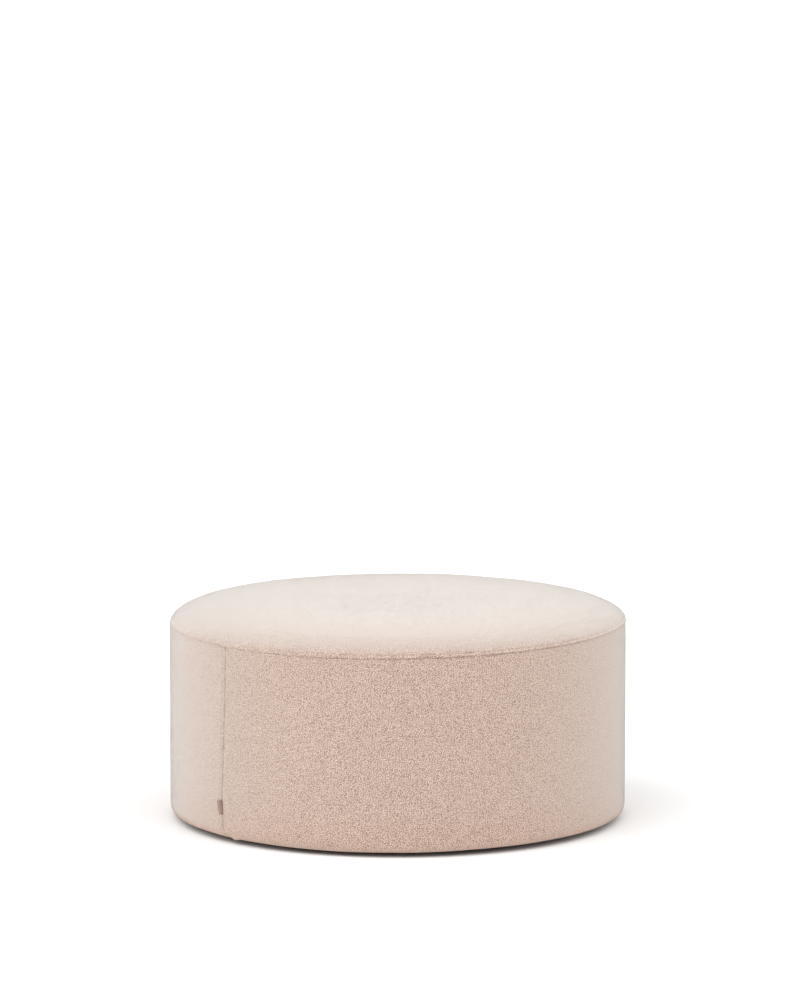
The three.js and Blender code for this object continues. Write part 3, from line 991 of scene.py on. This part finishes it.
def thick_strip(name, front, back, along, across):
    """A closed thin body between two grids of points[stop, row], with a UV map in metres."""
    stops, rows, _ = front.shape
    vertices = [tuple(p) for side in (front, back) for p in side.reshape(-1, 3)]
    other = stops * rows
    faces = []
    for s in range(stops - 1):
        for r in range(rows - 1):
            n = s * rows + r
            faces.append((n, n + 1, n + rows + 1, n + rows))
            faces.append((other + n, other + n + rows, other + n + rows + 1, other + n + 1))
    rim = [s * rows for s in range(stops)] + [(stops - 1) * rows + r for r in range(1, rows)]
    rim += [s * rows + rows - 1 for s in range(stops - 2, -1, -1)] + list(range(rows - 2, 0, -1))
    for here, after in zip(rim, rim[1:] + rim[:1]):
        faces.append((here, after, other + after, other + here))
    mesh = bpy.data.meshes.new(name)
    mesh.from_pydata(vertices, [], faces)
    weave = mesh.uv_layers.new(name="weave")
    for loop in mesh.loops:
        stop, row = divmod(loop.vertex_index % other, rows)
        weave.data[loop.index].uv = (along[stop], across[row])
    mesh.shade_smooth()
    return mesh


def ribbon_material(half_length):
    """Ribbed ribbon: fine ribs across, with a painted highlight beside the fold where the loop
    curves, and painted shade at the fold and towards the seam.
    """
    material, start = started("ribbon")
    weave = start.node("ShaderNodeUVMap", {"uv_map": "weave"}, {})
    split = start.node("ShaderNodeSeparateXYZ", {}, {0: weave})
    along, across = (Wire(start.tree, split.socket.node.outputs[n]) for n in (0, 1))
    ribs = start.maths("SINE", along * (2 * math.pi / RIB_PITCH))
    warp = start.maths("SINE", across * (2 * math.pi / WARP_PITCH))
    from_fold = start.maths("ABSOLUTE", along - half_length)
    # painted highlight on the loop's curve; painted shade at the fold and towards the seam
    painted_highlight = 1.0 - start.maths("ABSOLUTE", from_fold - RIBBON_HIGHLIGHT_AT) * (1 / RIBBON_HIGHLIGHT_HALF)
    grain = start.specks(700.0)
    share = (ribs * 0.08 + warp * 0.05 + grain * 0.2 + 0.3 + painted_highlight.clamped() * 0.45).clamped()
    shaded(start, {
        "Base Color": share.mixed((*RIBBON_DARK, 1.0), (*RIBBON_LIGHT, 1.0)),
        "Roughness": ribs * 0.08 + 0.6, "Specular IOR Level": 0.3,
        "Normal": start.bumped(0.0002, 0.5, ribs * 0.5 + warp * 0.3)})
    return material


front, along = ribbon_surface(LABEL_LAYER / 2)
back, _ = ribbon_surface(-LABEL_LAYER / 2)
across = np.linspace(0, LABEL_HEIGHT, LABEL_ROWS)
label_mesh = thick_strip("label_ribbon", front, back, along, across)
label_mesh.materials.append(ribbon_material(float(along[-1]) / 2))
label = shown("label_ribbon", label_mesh)
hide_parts("label")


# Base cloth
# A round of thin dark non-woven cloth that closes the underside, fixed over the turned-in edge of
# the side band. It sags a little between the glides, and its rim puckers where it is fixed.
BASE_RADIUS = 0.408
BASE_BOTTOM = 0.0103
BASE_THICK = 0.0013
BASE_SAG = 0.0012
BASE_COLUMNS = 96
BASE_RINGS = 34
BASE_PUCKER = 0.0002
BASE_PUCKERS = 48
GLIDE_CIRCLE = 0.330
GLIDE_HOLD = 0.035
BASE_COLOURS = ((0.0075, 0.0065, 0.006), (0.020, 0.017, 0.015))


def base_cloth_material():
    """Pressed fibres with a faint grid of bonding dots."""
    material, start = started("base_cloth")
    fibres = start.specks(520.0, Detail=4.0, Distortion=2.0)
    dots = start.node("ShaderNodeTexVoronoi", {}, {
        "Vector": start.place(), "Scale": 420.0, "Randomness": 0.15}, "Distance")
    shaded(start, {
        "Base Color": fibres.ramp((0.35, BASE_COLOURS[0]), (0.7, BASE_COLOURS[1])),
        "Roughness": fibres * 0.2 + 0.75,
        "Normal": start.bumped(0.0003, 0.5, fibres * 0.5 + dots)})
    return material


ring = np.linspace(0.02, 1, BASE_RINGS) * BASE_RADIUS
turn = np.linspace(0, 2 * math.pi, BASE_COLUMNS, endpoint=False)[:, None] + 0 * ring
near_glide = np.cos(3 * turn) ** 2 * np.exp(-(((ring - GLIDE_CIRCLE) / GLIDE_HOLD) ** 2))
sag = BASE_SAG * (1 - (ring / BASE_RADIUS) ** 4) * (1 - near_glide)
puckers = BASE_PUCKER * np.sin(BASE_PUCKERS * turn) * eased(ring, 0.36, 0.40)
low = BASE_BOTTOM - sag + puckers
sheet_points = np.concatenate([
    revolved(turn, ring + 0 * turn, low),
    revolved(turn, ring + 0 * turn, low + BASE_THICK)[:, ::-1],
], axis=1)
base_mesh = closed_body(
    "base_cloth_sheet", sheet_points, (0, 0, BASE_BOTTOM - BASE_SAG),
    (0, 0, BASE_BOTTOM - BASE_SAG + BASE_THICK))
base_mesh.materials.append(base_cloth_material())
base_cloth = shown("base_cloth_sheet", base_mesh)
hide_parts("base_cloth")


# Glides
# Six low discs of black moulded plastic, nailed up through the base cloth, on which the stool
# stands clear of the floor. Their own solids are shown.
PLASTIC_COLOURS = ((0.006, 0.006, 0.006), (0.012, 0.0115, 0.011))


def plastic_material():
    """Satin moulded plastic with a fine spark-eroded grain and scuffs."""
    material, start = started("glide_plastic")
    scuffs = start.specks(90.0)
    shaded(start, {
        "Base Color": scuffs.mixed((*PLASTIC_COLOURS[0], 1.0), (*PLASTIC_COLOURS[1], 1.0)),
        "Roughness": scuffs * 0.25 + 0.38,
        "Normal": start.bumped(0.0001, 0.3, start.specks(1500.0))})
    return material


plastic = plastic_material()
for name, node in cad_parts.items():
    if name.startswith("glide_"):
        for slot in node.material_slots:
            slot.material = plastic
